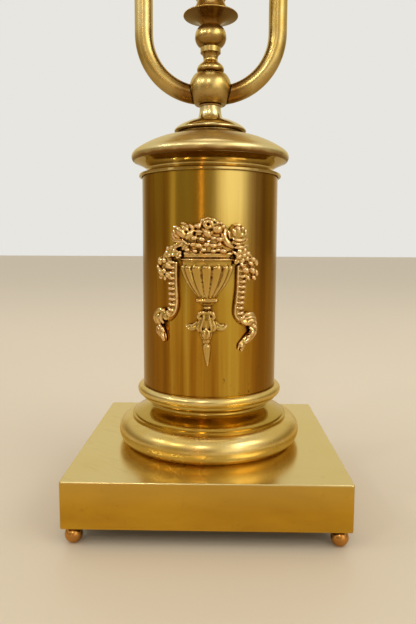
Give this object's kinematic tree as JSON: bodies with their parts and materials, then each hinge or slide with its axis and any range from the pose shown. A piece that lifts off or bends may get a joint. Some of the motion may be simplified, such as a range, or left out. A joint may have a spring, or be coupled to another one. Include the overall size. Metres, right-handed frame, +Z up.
{
  "type": "bouillotte lamp",
  "caption": "Brass table lamp: square plinth on ball feet, drum column with cast urn relief, bent-tube arms with candle lights, and a round metal shade that slides on a centre rod.",
  "frame": {"origin": "on the table, under the middle of the square plinth, level with the bottoms of the ball feet", "axes": "+Z up along the column, the cast ornament faces -Y, the two arms lie along X, the switch and cord inlet are at +Y"},
  "size_m": [0.3332, 0.3332, 0.7247],
  "materials": {
    "brass_sheet": "satin, aged and rubbed, fine brushing and light scratches",
    "brass_turned": "polished turned brass, aged, browner in the grooves",
    "brass_column": "polished spun tube with upright streaks",
    "brass_cast": "cast relief, bright on the high places and dark in the hollows",
    "brass_tube": "drawn and polished tube",
    "brass_trim": "satin",
    "steel_fixings": "zinc plated",
    "steel_cover": "satin dark brown enamel",
    "iron_ballast": "as cast",
    "candle_ivory": "satin ivory",
    "socket_black": "moulded black",
    "brass_contact": "bright",
    "bulb_glass": "clear",
    "bulb_stem": "pressed glass stem with filament supports",
    "lead_cover": "clear gold insulation",
    "shade_paint": "satin black enamel outside, pale gold inside"
  },
  "bodies": {
    "root": {"arm_ferrules": "brass_turned", "arm_hub": "brass_turned", "arm_lead": "lead_cover", "arm_tube_left": "brass_tube", "arm_tube_right": "brass_tube", "ball_feet": "brass_cast", "ballast_weight": "iron_ballast", "baluster": "brass_turned", "base_bead": "brass_turned", "base_scotia": "brass_turned", "base_torus": "brass_turned", "candle_cup_left": "brass_turned", "candle_cup_right": "brass_turned", "candle_sleeve_left": "candle_ivory", "candle_sleeve_right": "candle_ivory", "cap_collar": "brass_turned", "cap_dome": "brass_turned", "centre_pipe": "steel_fixings", "column_ornament": "brass_cast", "column_tube": "brass_column", "corner_lugs": "steel_fixings", "cover_plate": "steel_cover", "drip_pan_left": "brass_tube", "drip_pan_right": "brass_tube", "inlet_bush": "socket_black", "inlet_nut": "socket_black", "lower_knop": "brass_turned", "nipple_nuts": "steel_fixings", "ornament_rivets": "brass_cast", "pipe_nut": "steel_fixings", "pipe_washer": "steel_fixings", "plinth_box": "brass_sheet", "rod_vase": "brass_turned", "shade_rod": "brass_tube", "socket_bodies": "socket_black", "socket_contacts": "brass_contact", "socket_nipples": "steel_fixings", "socket_shells": "brass_contact", "stem_disc": "brass_turned", "stem_flange": "brass_turned", "stem_rod": "steel_fixings", "supply_lead": "lead_cover", "switch_body": "socket_black", "switch_nut": "brass_trim"},
    "shade_collar": {"shade_collar": "brass_turned"},
    "clamp_screw": {"clamp_screw": "brass_turned"},
    "shade": {"shade_shell": "shade_paint", "shade_rim_low": "brass_trim", "shade_rim_high": "brass_trim", "shade_spider": "brass_trim", "spider_rivets": "brass_trim"},
    "finial": {"finial": "brass_turned"},
    "bulb_left": {"bulb_glass_left": "bulb_glass", "bulb_cap_left": "brass_contact", "bulb_stem_left": "bulb_stem"},
    "bulb_right": {"bulb_glass_right": "bulb_glass", "bulb_cap_right": "brass_contact", "bulb_stem_right": "bulb_stem"},
    "switch_knob": {"switch_knob": "brass_trim", "switch_shaft": "brass_trim"}
  },
  "joints": [
    {"name": "shade_height", "type": "slide", "parent": "root", "child": "shade_collar", "axis": [0, 0, 1], "range_m": [-0.04, 0.06]},
    {"name": "shade_turn", "type": "hinge", "parent": "shade_collar", "child": "shade", "pos_m": [0, 0, 0.611], "axis": [0, 0, 1], "continuous": true},
    {"name": "clamp_screw_turn", "type": "hinge", "parent": "shade_collar", "child": "clamp_screw", "pos_m": [0, 0, 0.5988], "axis": [0, -1, 0], "range_deg": [0, 720]},
    {"name": "finial_unscrew", "type": "hinge", "parent": "root", "child": "finial", "pos_m": [0, 0, 0.69465], "axis": [0, 0, 1], "range_deg": [0, 1800]},
    {"name": "bulb_left_unscrew", "type": "hinge", "parent": "root", "child": "bulb_left", "pos_m": [-0.0466, 0, 0.47565], "axis": [0, 0, 1], "range_deg": [0, 1080]},
    {"name": "bulb_right_unscrew", "type": "hinge", "parent": "root", "child": "bulb_right", "pos_m": [0.0466, 0, 0.47565], "axis": [0, 0, 1], "range_deg": [0, 1080]},
    {"name": "switch_turn", "type": "hinge", "parent": "root", "child": "switch_knob", "pos_m": [0.045, 0.0875, 0.02405], "axis": [0, 1, 0], "continuous": true}
  ]
}
